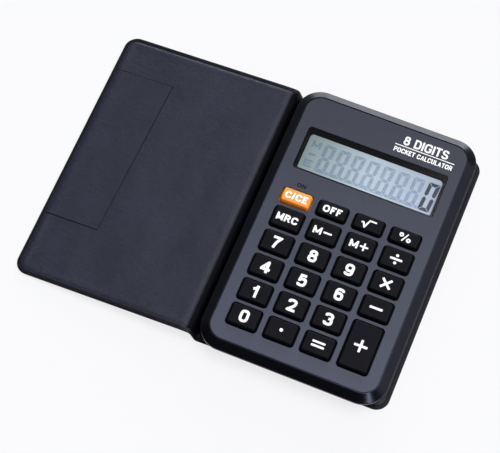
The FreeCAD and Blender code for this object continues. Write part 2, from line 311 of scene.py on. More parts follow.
def painted_fold_shade(tree, place):
    """Painted shade: one on the cover, falling to fold_shade where the sheet turns down into the fold."""
    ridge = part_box("cover_skin")[1].x
    fade = (ridge - fold_fade_start * mm, ridge - fold_fade_end * mm)
    return mapped(tree, along(tree, place, "X"), fade, (1.0, fold_shade), interpolation_type="SMOOTHSTEP")


def vinyl(colour, roughness, pebble, pebble_depth, crease, crease_depth, gloss, with_painted_fold_shade=False):
    """Embossed vinyl: small pebbles, long faint creases, an uneven sheen and, if asked, painted shade in the
    fold.
    """
    material, tree = new_material()
    place = add_node(tree, "Attribute", attribute_name="rest_place").outputs["Vector"]
    cell_inputs = {"Vector": place, "Scale": 1.0 / (pebble * mm)}
    cells = add_node(tree, "TexVoronoi", cell_inputs, feature="SMOOTH_F1").outputs["Distance"]
    stretched = scaled(tree, place, (0.45, 1.0, 1.0))
    creases = noise_of(tree, stretched, crease, detail=6.0, roughness=0.66)
    broad = noise_of(tree, place, 14.0, detail=2.0)
    fine = noise_of(tree, place, 0.12, detail=2.0)
    tone = spread(tree, broad, 0.86, 1.14)
    tone = calculated(tree, "MULTIPLY", tone, spread(tree, creases, 0.9, 1.1))
    if with_painted_fold_shade:
        # Painted shade: tone and gloss fall in the fold.
        fold = painted_fold_shade(tree, place)
        tone = calculated(tree, "MULTIPLY", tone, fold)
        gloss = calculated(tree, "MULTIPLY", fold, gloss)
    normal = bump_of(tree, cells, pebble_depth)
    normal = bump_of(tree, creases, crease_depth, after=normal)
    normal = bump_of(tree, fine, 0.006, after=normal)
    rough = spread(tree, creases, roughness * 0.9, roughness * 1.1)
    return principled(material, shaded(tree, colour, tone), rough, normal, gloss)


def clear_plate(tint, scratch):
    """Clear moulded sheet: see-through, with a mirror-like skin that follows the viewing angle."""
    material, tree = new_material()
    haze = noise_of(tree, place_of(tree), scratch)
    rough = spread(tree, haze, 0.03, 0.07)
    through = add_node(tree, "BsdfTransparent", {"Color": (*tint, 1.0)})
    gloss = add_node(tree, "BsdfGlossy", {"Color": (1.0, 1.0, 1.0, 1.0), "Roughness": rough})
    fresnel = add_node(tree, "Fresnel", {"IOR": 1.49, "Normal": bump_of(tree, haze, 0.001)})
    inside = add_node(tree, "NewGeometry").outputs["Backfacing"]
    outside = calculated(tree, "SUBTRACT", 1.0, inside)
    share = calculated(tree, "MULTIPLY", fresnel.outputs[0], outside)
    return mixed(material, share, through, gloss)


def display_film(painted_tones):
    """Display film with painted light: a painted shadow from the recess at the left, and a lighter painted
    reflection towards the right.
    """
    material, tree = new_material()
    place = place_of(tree)
    # Painted light: the film's tone follows these stops from left to right.
    across = mapped(tree, along(tree, place, "X"), (-24.0 * mm, 24.0 * mm))
    ramp = add_node(tree, "ValToRGB", {"Fac": across})
    stops = ramp.color_ramp.elements
    while len(stops) < len(painted_tones):
        stops.new(0.5)
    for stop, (position, tint) in zip(stops, painted_tones):
        stop.position = position
        stop.color = (*tint, 1.0)
    sparkle = noise_of(tree, place, 0.1)
    colour = scaled(tree, ramp.outputs["Color"], spread(tree, sparkle, 0.96, 1.04))
    return principled(material, colour, 0.45, bump_of(tree, sparkle, 0.002))


def veil(colour, strength):
    """Thin see-through stain, for the ghosts of idle display segments."""
    material, tree = new_material()
    uneven = spread(tree, noise_of(tree, place_of(tree), 0.8), strength * 0.7, strength * 1.3)
    through = add_node(tree, "BsdfTransparent")
    stain = add_node(tree, "BsdfDiffuse", {"Color": (*colour, 1.0)})
    return mixed(material, uneven, through, stain)


def striped(dark, light, pitch):
    """Rubber bar built of thin conducting and insulating layers."""
    material, tree = new_material()
    place = place_of(tree)
    turns = calculated(tree, "MULTIPLY", along(tree, place, "X"), 2.0 * math.pi / (pitch * mm))
    share = mapped(tree, calculated(tree, "SINE", turns), (-0.3, 0.3))
    ramp = add_node(tree, "ValToRGB", {"Fac": share})
    ramp.color_ramp.elements[0].color = (*dark, 1.0)
    ramp.color_ramp.elements[1].color = (*light, 1.0)
    fine = noise_of(tree, place, 0.2)
    return principled(material, ramp.outputs["Color"], 0.6, bump_of(tree, fine, 0.005))


def make_materials():
    """One material for each slot of the record, a darker copy of the liner as painted shade for the back's
    lining, and the prints.
    """
    key_black = (0.0025, 0.0026, 0.005)
    # Painted light on the display film, as (position, tone): painted shadow at the left, painted reflection
    # towards the right.
    film_painted_light = ((0.0, (0.185, 0.235, 0.233)), (0.5, (0.48, 0.54, 0.63)), (1.0, (0.40, 0.44, 0.58)))
    made = {
        "face_plate": sprayed_plate((0.031, 0.036, 0.059)),
        "case_plastic": shiny_case((0.002, 0.002, 0.003)),
        "key_black": moulded(key_black, 0.5, grain=0.12, depth=0.014, mottle=0.1, patch=2.5, gloss=0.075),
        "key_orange": moulded((0.95, 0.27, 0.02), 0.5, grain=0.12, depth=0.012, mottle=0.05, patch=2.5),
        "window_acrylic": clear_plate((0.97, 0.985, 0.98), 2.0),
        "polariser_film": display_film(film_painted_light),
        "lcd_glass": clear_plate((0.82, 0.9, 0.85), 3.0),
        "reflector_film": moulded((0.55, 0.6, 0.56), 0.35, Metallic=0.6),
        "zebra_rubber": striped((0.02, 0.02, 0.022), (0.6, 0.58, 0.55), 0.2),
        "silicone": moulded((0.5, 0.51, 0.5), 0.5, grain=0.3, depth=0.01),
        "carbon_rubber": moulded((0.012, 0.012, 0.012), 0.7),
        "board_laminate": moulded((0.22, 0.13, 0.045), 0.5, grain=0.5, depth=0.01, mottle=0.2),
        "chip_resin": moulded((0.008, 0.008, 0.008), 0.16, grain=0.8, depth=0.01),
        "capacitor_ceramic": moulded((0.42, 0.28, 0.16), 0.45),
        "cell_steel": moulded((0.6, 0.6, 0.58), 0.3, grain=0.1, Metallic=1.0),
        "contact_metal": moulded((0.66, 0.6, 0.46), 0.28, grain=0.1, Metallic=1.0),
        "screw_steel": moulded((0.42, 0.42, 0.44), 0.35, grain=0.15, Metallic=1.0),
        "foam_tape": moulded((0.75, 0.75, 0.73), 0.8, grain=0.2, depth=0.03),
        "vinyl_outer": vinyl((0.005, 0.005, 0.0085), 0.45, 0.75, 0.05, 3.0, 0.05, 0.13),
        "vinyl_liner": vinyl((0.013, 0.0147, 0.029), 0.47, 0.42, 0.045, 1.3, 0.2, 0.27, with_painted_fold_shade=True),
        # Painted shade: the liner's vinyl, darker and less glossy, for the back's lining.
        "vinyl_liner_painted_shade": vinyl((0.004, 0.0043, 0.009), 0.4, 0.42, 0.04, 1.3, 0.1, 0.17),
        "board_card": moulded((0.3, 0.28, 0.25), 0.85, grain=0.4, depth=0.03, mottle=0.15),
        "print_white": moulded((0.93, 0.93, 0.94), 0.5, grain=0.1, depth=0.003, mottle=0.02),
        "print_dark": moulded((0.004, 0.004, 0.012), 0.6, grain=0.1, depth=0.003, gloss=0.05),
        "segment_on": moulded((0.013, 0.018, 0.044), 0.5, grain=0.2, depth=0.002),
        "segment_idle": veil((0.12, 0.18, 0.42), 0.12),
    }
    for name, material in made.items():
        material.name = name
    return made


# -------- mesh helpers


def object_from_bmesh(name, work, material, smooth=True):
    """Closes the work into an object; faces that were tagged stay flat."""
    bmesh.ops.recalc_face_normals(work, faces=work.faces)
    for face in work.faces:
        face.smooth = smooth and not face.tag
    mesh = bpy.data.meshes.new(name)
    work.to_mesh(mesh)
    work.free()
    mesh.materials.append(material)
    made = bpy.data.objects.new(name, mesh)
    bpy.context.scene.collection.objects.link(made)
    return made


def drop_loose(work):
    """Deletes the vertices that no face uses."""
    loose = [vertex for vertex in work.verts if not vertex.link_faces]
    bmesh.ops.delete(work, geom=loose, context="VERTS")


def keep_rest_place(made):
    """Stores each point's resting place, so that the grain stays put when the piece bends."""
    mesh = made.data
    attribute = mesh.attributes.new("rest_place", "FLOAT_VECTOR", "POINT")
    flat = [value for vertex in mesh.vertices for value in vertex.co]
    attribute.data.foreach_set("vector", flat)


def thicken(made, thickness):
    """Gives a sheet its thickness, behind the face it has."""
    modifier = made.modifiers.new("thickness", "SOLIDIFY")
    modifier.thickness = thickness * mm
    modifier.offset = -1.0
    graph = bpy.context.evaluated_depsgraph_get()
    mesh = bpy.data.meshes.new_from_object(made.evaluated_get(graph))
    made.modifiers.clear()
    made.data = mesh


def stand_for(piece, slot, *nodes):
    """Hides the CAD nodes that the piece stands for; slot is not used."""
    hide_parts(*nodes)
    return piece


# -------- wallet panels


def crossing(first, first_way, second, second_way):
    """Where two lines in the XZ plane meet."""
    cross = first_way.x * second_way.y - first_way.y * second_way.x
    gap = second - first
    return first + first_way * ((gap.x * second_way.y - gap.y * second_way.x) / cross)


class Run:
    """Two straight lines with a rounded bend between them, in the XZ plane, in millimetres."""

    def __init__(self, start, bend, end, radius, inner_side):
        self.start = start
        self.way_in = (bend - start).normalized()
        self.way_out = (end - bend).normalized()
        self.turn = math.acos(max(-1.0, min(1.0, self.way_in.dot(self.way_out))))
        cross = self.way_in.x * self.way_out.y - self.way_in.y * self.way_out.x
        self.left = Vector((-self.way_in.y, self.way_in.x)) * math.copysign(1.0, cross)
        self.radius = radius
        reach = radius * math.tan(self.turn / 2)
        self.first = (bend - start).length - reach
        self.second = self.first + radius * self.turn
        self.length = self.second + (end - bend).length - reach
        self.inner_side = inner_side

    def at(self, s, height):
        """The point s along the outer face, raised by height towards the wallet's inside."""
        angle = self.turn * min(max((s - self.first) / (self.second - self.first), 0.0), 1.0)
        sin, cos = math.sin(angle), math.cos(angle)
        straight = self.way_in * min(s, self.first) + self.way_out * max(s - self.second, 0.0)
        arc = (self.way_in * sin + self.left * (1.0 - cos)) * self.radius
        way = self.way_in * cos + self.left * sin
        return self.start + straight + arc + Vector((-way.y, way.x)) * self.inner_side * height


def wallet_runs():
    """The outer faces of the cover and of the back panel, each starting halfway up the spine."""
    cover = [Vector((v.co.x, v.co.z)) / mm for v in cad_nodes["cover_skin"].data.vertices]
    spine = [Vector((v.co.x, v.co.z)) / mm for v in cad_nodes["spine_skin"].data.vertices]
    fold_end = max(cover, key=lambda p: p.x)
    free_end = min(cover, key=lambda p: p.y)
    foot = min(spine, key=lambda p: p.y)
    head = min(spine, key=lambda p: p.x)
    up = (head - foot).normalized()
    middle = foot + up * spine_split
    cover_way = (free_end - fold_end).normalized()
    back_low, back_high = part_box("back_skin")
    table = Vector((back_low.x / mm, back_low.z / mm))
    right_end = Vector((back_high.x / mm, back_low.z / mm))
    fold = crossing(middle, up, fold_end, cover_way)
    corner = crossing(middle, up, table, Vector((1.0, 0.0)))
    return Run(middle, fold, free_end, fold_radius, -1.0), Run(middle, corner, right_end, foot_radius, 1.0)


wallet_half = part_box("back_skin")[1].y / mm
cover_run, back_run = wallet_runs()
notch_start = cover_run.length - notch_depth


def round_corner(s, v, length):
    """Rounds the free corners so that lines at an equal inset stay parallel to the outline."""
    centre_s, centre_v = length - wallet_corner, wallet_half - wallet_corner
    a, b = s - centre_s, abs(v) - centre_v
    if a <= 0 or b <= 0:
        return s, v
    if a >= b:
        reach, angle = a, 0.25 * math.pi * b / a
    else:
        reach, angle = b, 0.5 * math.pi - 0.25 * math.pi * a / b
    return centre_s + reach * math.cos(angle), math.copysign(centre_v + reach * math.sin(angle), v)


def inward_step(s, v, length, depth):
    """Moves a point of the rounded outline inwards by depth."""
    centre_s, centre_v = length - wallet_corner, wallet_half - wallet_corner
    if s > centre_s and abs(v) > centre_v:
        away = Vector((s - centre_s, abs(v) - centre_v))
        away = away.normalized() * (away.length - depth)
        return centre_s + away.x, math.copysign(centre_v + away.y, v)
    if abs(v) >= wallet_half - 1e-6:
        return s, math.copysign(wallet_half - depth, v)
    return s - depth, v


def smooth_step(value, low, high):
    share = min(max((value - low) / (high - low), 0.0), 1.0)
    return share * share * (3 - 2 * share)


def stack_at(s):
    """Thickness of the wallet's layers: thin in the spine, full in the panels."""
    return spine_stack + (sheet_stack - spine_stack) * smooth_step(s, stack_grow_start, stack_grow_end)


def shoulder_drop(inset):
    """How far the inner sheet dips towards its sealed border."""
    if inset <= shoulder[0][0]:
        return shoulder[0][1]
    for (near, near_drop), (far, far_drop) in zip(shoulder, shoulder[1:]):
        if inset <= far:
            return near_drop + (far_drop - near_drop) * smooth_step(inset, near, far)
    return shoulder[-1][1]


def steps(start, stop, size):
    count = max(1, round((stop - start) / size))
    return [start + (stop - start) * index / count for index in range(count)]


def fine_edges(length, both, extra=()):
    """Grid lines: close together near the ends, wide in between, with some lines asked for."""
    far = [length - value for value in rim_lines]
    near = rim_lines if both else steps(0.0, fold_reach, fold_pitch)
    middle = steps(near[-1] + 0.6, far[-1] - 0.3, panel_pitch)
    return sorted(set(round(value, 4) for value in near + middle + far + list(extra)))


def ripple(s, v, seed, size):
    return noise.noise(Vector((s / size, v / (size * 1.7), seed)))


def sheet_place(run, s, v, height):
    """The place of a point s along the run and v across it, in metres."""
    place = run.at(s, height)
    return Vector((place.x, v, place.y)) * mm


def sheet_point(run, s, v, height):
    """The same for a point of the square grid, moved to suit the rounded corners."""
    s_round, v_round = round_corner(s, v, run.length)
    return sheet_place(run, s_round, v_round, height)


# -------- wallet sheets


def notch_drift(s, v):
    """The notch is not quite square: its inner edge leans towards the fold at the top."""
    near = smooth_step(abs(s - notch_start), lean_reach, 0.0)
    return s - notch_lean * near * (v - (notch_low + notch_high) / 2)


def pocket_wave(s, v, edge):
    """The pocket sheet lies slack, in long low waves."""
    wave = 0.19 * ripple(s, v, 1.3, 12.0) + 0.06 * ripple(s, v, 5.9, 5.0) - 0.12
    return wave * smooth_step(edge, 1.6, 5.0)


def lining_wave(s, v, edge):
    """The lining lies under the pocket sheet and rises into a flap inside the notch."""
    aside = min(s - notch_start, v - notch_low)
    below_top = notch_high - v
    flap = smooth_step(below_top, 0.0, 0.43) if below_top < aside else smooth_step(aside, 0.28, 0.46)
    sag = max(0.0, 1.0 - math.hypot(s - notch_start, v - notch_low) / 9.0)
    wave = 0.07 * ripple(s, v, 2.2, 8.0) - 0.12 * sag + flap_rise
    return flap * wave * smooth_step(edge, 1.6, 4.0) - flap_sink * (1 - flap)


def back_wave(s, v, edge):
    return 0.02 * ripple(s, v, 4.4, 7.0) * smooth_step(edge, 1.6, 4.0)


def flap_lines():
    """Extra grid lines, along s and along v, that follow the walls of the flap."""
    insets = (0.08, 0.2, 0.3, 0.4, 0.43, 0.46, 0.5, 0.6, 0.8)
    low_and_high = [notch_low + inset for inset in insets] + [notch_high - inset for inset in insets]
    return [notch_start + inset for inset in insets], low_and_high


def sheet_grid(run, start, extra):
    """Grid lines of an inner sheet along s and along v."""
    s_end, v_end = run.length - sheet_inset + 1e-6, wallet_half - sheet_inset + 1e-6
    s_lines = [s for s in fine_edges(run.length, False, extra[0]) if start <= s <= s_end]
    if s_lines[0] > start:
        s_lines.insert(0, start)
    across = [v + wallet_half for v in extra[1]]
    v_lines = [v - wallet_half for v in fine_edges(2 * wallet_half, True, across)]
    return s_lines, [v for v in v_lines if abs(v) <= v_end]


def inside_notch(s, v):
    return s > notch_start and notch_low < v < notch_high


def inner_sheet(name, run, material, wave, thickness, start=0.0, extra=((), ()), cut=None, drift=None):
    """A closed sheet, raised by wave(s, v, edge distance), cut open and shifted along s if asked."""
    s_lines, v_lines = sheet_grid(run, start, extra)
    work = bmesh.new()
    upper, lower = {}, {}
    for i, s in enumerate(s_lines):
        for j, v in enumerate(v_lines):
            edge = min(run.length - s, wallet_half - abs(v))
            high = stack_at(s) - shoulder_drop(edge) + wave(s, v, edge)
            shifted = drift(s, v) if drift else s
            upper[i, j] = work.verts.new(sheet_point(run, shifted, v, high))
            lower[i, j] = work.verts.new(sheet_point(run, shifted, v, high - thickness))
    kept = set()
    for i in range(len(s_lines) - 1):
        for j in range(len(v_lines) - 1):
            middle = ((s_lines[i] + s_lines[i + 1]) / 2, (v_lines[j] + v_lines[j + 1]) / 2)
            if not (cut and cut(*middle)):
                kept.add((i, j))
    for i, j in sorted(kept):
        corners = [(i, j), (i + 1, j), (i + 1, j + 1), (i, j + 1)]
        work.faces.new([upper[corner] for corner in corners])
        work.faces.new([lower[corner] for corner in reversed(corners)])
        sides = {(i - 1, j): (0, 3), (i + 1, j): (1, 2), (i, j - 1): (0, 1), (i, j + 1): (3, 2)}
        for neighbour, (a, b) in sides.items():
            if neighbour not in kept:
                first, second = corners[a], corners[b]
                wall = work.faces.new([upper[first], upper[second], lower[second], lower[first]])
                wall.tag = True
    drop_loose(work)
    made = object_from_bmesh(name, work, material)
    keep_rest_place(made)
    return made


def skin_height(edge, ring_top):
    """Outer face near the border: rolls up to half the ring's height at the very edge."""
    radius = ring_top / 2
    roll = 0.0
    if edge < radius:
        roll = radius - math.sqrt(max(radius**2 - (radius - edge) ** 2, 0.0))
    return roll + groove_depth * math.exp(-(((edge - groove_inset) / groove_width) ** 2))


def ring_rows():
    """Rows of the skin's ring as (distance from the edge, tuck): its inner rim is tucked down."""
    rows = [(depth, 0.0) for depth in rim_lines if 0.0 < depth < ring_width - 0.2]
    return rows + [(ring_width - 0.12, 0.0), (ring_width - 0.03, 0.03), (ring_width, 0.12)]


def ring_height(s, v, s_in, depth):
    """Height of the skin's ring over the panel."""
    ring_top = stack_at(s_in) - edge_drop
    return ring_top - skin_height(min(depth, ring_top / 2), ring_top) + 0.02 * ripple(s, v, 3.1, 5.0)


def outer_skin(name, run, material):
    """Outer vinyl: one face under the panel, rolled round the border into a narrow ring inside."""
    s_lines = fine_edges(run.length, False)
    v_lines = [v - wallet_half for v in fine_edges(2 * wallet_half, True)]
    last_s, last_v = len(s_lines) - 1, len(v_lines) - 1
    work = bmesh.new()
    face = {}
    for i, s in enumerate(s_lines):
        for j, v in enumerate(v_lines):
            edge = min(run.length - s, wallet_half - abs(v))
            puff = 0.03 * ripple(s, v, 7.7, 16.0) * smooth_step(edge, 2.5, 8.0)
            height = skin_height(edge, stack_at(s) - edge_drop) + puff
            face[i, j] = work.verts.new(sheet_point(run, s, v, height))
    for i in range(last_s):
        for j in range(last_v):
            work.faces.new([face[i, j], face[i + 1, j], face[i + 1, j + 1], face[i, j + 1]])
    border = [(i, 0) for i in range(last_s + 1)]
    border += [(last_s, j) for j in range(1, last_v + 1)]
    border += [(i, last_v) for i in range(last_s - 1, -1, -1)]
    previous = [face[place] for place in border]
    for depth, tuck in ring_rows():
        current = []
        for i, j in border:
            s, v = s_lines[i], v_lines[j]
            s_in, v_in = inward_step(*round_corner(s, v, run.length), run.length, depth)
            height = ring_height(s, v, s_in, depth) - tuck
            current.append(work.verts.new(sheet_place(run, s_in, v_in, height)))
        for k in range(len(border) - 1):
            work.faces.new([previous[k], previous[k + 1], current[k + 1], current[k]])
        previous = current
    made = object_from_bmesh(name, work, material)
    thicken(made, skin_thickness)
    keep_rest_place(made)
    return made


def bend(piece, first, second, start, end):
    """Bakes the sheet's placement into its mesh and does not bend it; first and second are not used."""
    start, end = [(place.x * mm, 0.0, place.y * mm) for place in (start, end)]
    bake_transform(piece)


def make_cover(outer, liner):
    skin = stand_for(outer_skin("cover_leather", cover_run, outer), "vinyl_outer", "cover_skin")
    cut_lines = ([notch_start], [notch_low, notch_high])
    pocket = inner_sheet(
        "cover_pocket_sheet", cover_run, liner, pocket_wave, pocket_thickness,
        extra=cut_lines, cut=inside_notch, drift=notch_drift,
    )
    stand_for(pocket, "vinyl_liner", "cover_pocket")
    lining = inner_sheet(
        "cover_lining", cover_run, liner, lining_wave, lining_thickness,
        start=lining_start, extra=flap_lines(), drift=notch_drift,
    )
    stand_for(lining, "vinyl_liner", "cover_liner")
    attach(lining, "cover")
    start, end = cover_run.at(0.1, 0.0), cover_run.at(cover_run.second + cover_bend_reach, 0.0)
    for piece in (skin, pocket):
        bend(piece, "spine", "cover", start, end)


def make_back(outer, shade):
    skin = stand_for(outer_skin("back_leather", back_run, outer), "vinyl_outer", "back_skin", "spine_skin")
    lining = inner_sheet("back_lining", back_run, shade, back_wave, back_lining_thickness)
    stand_for(lining, "vinyl_liner", "back_liner", "spine_liner")
    start, end = back_run.at(back_run.second, 0.0), back_run.at(0.1, 0.0)
    for piece in (skin, lining):
        bend(piece, "calculator", "spine", start, end)


# -------- signs

# Each sign in a unit box: its width, then its lines, as corners (x, y) or (x, y, rounding);
# a line that ends where it starts is a closed loop
soft = 0.5


def oval(left=0, low=0, right=1, high=1):
    start = (left, low, soft)
    return [start, (right, low, soft), (right, high, soft), (left, high, soft), start]


glyphs = {
    "0": (0.7, oval()),
    "1": (0.42, [(0, 0.74), (0.45, 0.8, 0.3), (0.95, 1)], [(0.95, 1), (0.95, 0)]),
    "2": (0.7, [(0, 0.74), (0, 1, soft), (1, 1, soft), (1, 0.55, soft), (0.05, 0), (1, 0)]),
    "3": (
        0.7,
        [(0, 0.78), (0, 1, soft), (0.94, 1, soft), (0.94, 0.54, soft), (0.42, 0.54)],
        [(0.42, 0.54), (1, 0.54, soft), (1, 0, soft), (0, 0, soft), (0, 0.24)],
    ),
    "4": (0.74, [(0.74, 0), (0.74, 1), (0, 0.3), (0, 0.24), (1, 0.24)]),
    "5": (
        0.7,
        [(0.92, 1), (0.16, 1), (0.04, 0.48), (0.3, 0.62, 0.2), (1, 0.68, soft), (1, 0, soft), (0, 0, soft),
         (0, 0.2)],
    ),
    "6": (0.7, [(0.97, 0.8), (0.94, 1, soft), (0, 1, soft), (0, 0.3)], oval(high=0.6)),
    "7": (0.7, [(0, 1), (1, 1), (0.45, 0.5, 0.4), (0.28, 0)]),
    "8": (0.7, oval(high=0.54), oval(0.07, 0.54, 0.93)),
    "9": (0.7, [(0.03, 0.2), (0.06, 0, soft), (1, 0, soft), (1, 0.7)], oval(low=0.4)),
    "A": (0.8, [(0.02, 0), (0.5, 1), (0.98, 0)], [(0.24, 0.3), (0.76, 0.3)]),
    "C": (0.82, [(1, 0.7), (1, 1, soft), (0, 1, soft), (0, 0, soft), (1, 0, soft), (1, 0.3)]),
    "D": (0.78, [(0, 0), (1, 0, soft), (1, 1, soft), (0, 1), (0, 0)]),
    "E": (0.68, [(1, 1), (0, 1), (0, 0), (1, 0)], [(0, 0.52), (0.92, 0.52)]),
    "F": (0.64, [(1, 1), (0, 1), (0, 0)], [(0, 0.5), (0.88, 0.5)]),
    "G": (0.84, [(1, 0.72), (1, 1, soft), (0, 1, soft), (0, 0, soft), (1, 0, soft), (1, 0.46), (0.6, 0.46)]),
    "I": (0.22, [(0.5, 0), (0.5, 1)]),
    "K": (0.78, [(0, 0), (0, 1)], [(0.96, 1), (0.1, 0.38)], [(0.36, 0.58), (0.98, 0)]),
    "L": (0.64, [(0, 1), (0, 0), (1, 0)]),
    "M": (0.92, [(0, 0), (0, 1)], [(1, 0), (1, 1)], [(0.04, 1), (0.5, 0.06)], [(0.96, 1), (0.5, 0.06)]),
    "O": (0.86, oval()),
    "P": (0.72, [(0, 0), (0, 1), (1, 1, soft), (1, 0.44, soft), (0.1, 0.44)]),
    "R": (
        0.78,
        [(0, 0), (0, 1), (0.95, 1, soft), (0.95, 0.48, soft), (0.1, 0.48)],
        [(0.55, 0.48), (0.98, 0)],
    ),
    "S": (
        0.74,
        [(0.96, 0.76), (0.96, 1, soft), (0.02, 1, soft), (0.02, 0.54, 0.4), (1, 0.46, 0.4), (1, 0, soft),
         (0, 0, soft), (0, 0.24)],
    ),
    "T": (0.7, [(0, 1), (1, 1)], [(0.5, 1), (0.5, 0)]),
    "U": (0.76, [(0, 1), (0, 0, soft), (1, 0, soft), (1, 1)]),
    "/": (0.36, [(0.1, 0), (0.9, 1)]),
}


def rounded(corners, closed, width, height):
    """Scales a sign's corners and rounds those that carry a rounding."""
    places = [Vector((corner[0] * width, corner[1] * height)) for corner in corners]
    count = len(places)
    made = []
    for index, corner in enumerate(corners):
        inner = closed or 0 < index < count - 1
        if len(corner) < 3 or not inner:
            made.append(places[index])
            continue
        here = places[index]
        legs = (places[index - 1] - here, places[(index + 1) % count] - here)
        shares = [min(corner[2] * width, leg.length / 2) for leg in legs]
        first, last = [here + leg.normalized() * share for leg, share in zip(legs, shares)]
        for step in range(7):
            t = step / 6
            made.append(first * (1 - t) ** 2 + here * (2 * t * (1 - t)) + last * t * t)
    return made


def stroke(points, closed, weight):
    """A pen line of even weight: a bar for each leg and a mitre outside each bend."""
    kept = [points[0]]
    for point in points[1:]:
        if (point - kept[-1]).length > 1e-4:
            kept.append(point)
    if closed and (kept[0] - kept[-1]).length < 1e-4:
        kept.pop()
    if closed:
        kept.append(kept[0])
    legs = list(zip(kept, kept[1:]))
    shapes = []
    for start, end in legs:
        way = (end - start).normalized()
        side = Vector((-way.y, way.x)) * weight / 2
        shapes.append([start + side, start - side, end - side, end + side])
    bends = list(zip(legs, legs[1:]))
    if closed:
        bends.append((legs[-1], legs[0]))
    for (start, corner), (_, end) in bends:
        first, last = (corner - start).normalized(), (end - corner).normalized()
        turn = first.x * last.y - first.y * last.x
        if abs(turn) < 1e-3:
            continue
        outer = math.copysign(weight / 2, -turn)
        near = Vector((-first.y, first.x)) * outer
        far = Vector((-last.y, last.x)) * outer
        tip = (near + far) / max(1 + first.dot(last), 0.6)
        shapes.append([corner, corner + near, corner + tip, corner + far])
    return shapes


def square_end(way, corner):
    """Carries a line on to the edge of its box when it ends there, and not otherwise."""
    place = corner[1] if abs(way.y) > abs(way.x) else corner[0]
    return way.normalized() if place < 0.03 or place > 0.97 else Vector((0.0, 0.0))


def glyph_shapes(name, x, y, width, height, weight):
    """Outlines of one sign whose lower left corner is at (x, y)."""
    inner_width, inner_height = max(width - weight, 1e-3), height - weight
    shapes = []
    for corners in glyphs[name][1:]:
        closed = corners[0] == corners[-1]
        points = rounded(corners[:-1] if closed else corners, closed, inner_width, inner_height)
        if not closed:
            points[0] += square_end(points[0] - points[1], corners[0]) * weight / 2
            points[-1] += square_end(points[-1] - points[-2], corners[-1]) * weight / 2
        shapes += stroke(points, closed, weight)
    placed = []
    for shape in shapes:
        placed.append([(x + weight / 2 + p.x, y + min(max(weight / 2 + p.y, 0.0), height)) for p in shape])
    return placed


def words(text, x, y, width, height, weight):
    """Outlines of a line of text centred at (x, y) and squeezed or spread to its width."""
    gap, space = 0.5 * weight / height + 0.02, 0.34
    needs = [space if sign == " " else glyphs[sign][0] for sign in text]
    total = sum(needs) + gap * (len(text) - 1)
    unit = width / total if width else height
    left = x - unit * total / 2
    shapes = []
    for sign, need in zip(text, needs):
        if sign != " ":
            shapes += glyph_shapes(sign, left, y - height / 2, need * unit, height, weight)
        left += (need + gap) * unit
    return shapes


def bar(x, y, length, width, angle=0.0):
    """A bar with slightly rounded corners."""
    cos, sin = math.cos(angle), math.sin(angle)
    radius = 0.2 * width
    ring = []
    for corner_x, corner_y, start in ((1, 1, 0), (-1, 1, 90), (-1, -1, 180), (1, -1, 270)):
        for turn in (0, 30, 60, 90):
            around = math.radians(start + turn)
            px = corner_x * (length / 2 - radius) + radius * math.cos(around)
            py = corner_y * (width / 2 - radius) + radius * math.sin(around)
            ring.append((x + px * cos - py * sin, y + px * sin + py * cos))
    return [ring]


def circle(x, y, radius_x, radius_y, count=24):
    turns = [2 * math.pi * index / count for index in range(count)]
    return [(x + radius_x * math.cos(turn), y + radius_y * math.sin(turn)) for turn in turns]


def dot(x, y, diameter):
    return [circle(x, y, diameter / 2, diameter / 2)]


def pen_line(points, weight, closed=False):
    return stroke([Vector(point) for point in points], closed, weight)


# -------- legends


def turned_left(shape):
    """The outline with its points running anticlockwise."""
    area = sum(a[0] * b[1] - b[0] * a[1] for a, b in zip(shape, shape[1:] + shape[:1]))
    return shape if area > 0 else shape[::-1]


def flat_mesh(shapes):
    """Merges overlapping outlines, in millimetres, into one flat sheet of triangles."""
    points, faces = [], []
    for shape in shapes:
        faces.append(list(range(len(points), len(points) + len(shape))))
        points += [Vector(place) for place in turned_left([tuple(place) for place in shape])]
    places, _, triangles, _, _, owners = geometry.delaunay_2d_cdt(points, [], faces, 1, 1e-4)
    work = bmesh.new()
    made = [work.verts.new((place.x, place.y, 0.0)) for place in places]
    for triangle, owner in zip(triangles, owners):
        if owner:
            work.faces.new([made[index] for index in triangle])
    drop_loose(work)
    return work


def printed(name, shapes, material, body, under, lift=print_lift, thickness=print_thickness):
    """A thin print, given as flat outlines in millimetres, lying on the CAD node it marks."""
    work = flat_mesh(shapes)
    long_edges = [edge for edge in work.edges if edge.calc_length() > 0.8]
    bmesh.ops.subdivide_edges(work, edges=long_edges, cuts=3)
    bmesh.ops.triangulate(work, faces=work.faces)
    target = BVHTree.FromPolygons(
        [vertex.co.copy() for vertex in under.data.vertices],
        [tuple(polygon.vertices) for polygon in under.data.polygons],
    )
    top = max(vertex.co.z for vertex in under.data.vertices)
    for vertex in work.verts:
        x, y = vertex.co.x * mm, vertex.co.y * mm
        hit = target.ray_cast(Vector((x, y, top + 5 * mm)), Vector((0.0, 0.0, -1.0)))[0]
        vertex.co = Vector((x, y, (hit.z if hit else top) + lift * mm))
    raised = bmesh.ops.extrude_face_region(work, geom=list(work.faces))
    for vertex in [item for item in raised["geom"] if isinstance(item, bmesh.types.BMVert)]:
        vertex.co.z += thickness * mm
    made = object_from_bmesh(name, work, material, smooth=False)
    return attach(made, body)


def key_nodes():
    return sorted(name for name in cad_nodes if name.startswith("key_"))


def key_centre(node):
    low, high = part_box(node)
    return (low.x + high.x) / 2 / mm, (low.y + high.y) / 2 / mm


# Words on keys: text, width, height and weight of the line
key_words = {
    "clear": ("C/CE", 7.6, 2.55, 0.6),
    "off": ("OFF", 6.4, 2.55, 0.62),
    "memory_recall": ("MRC", 7.2, 2.6, 0.62),
}


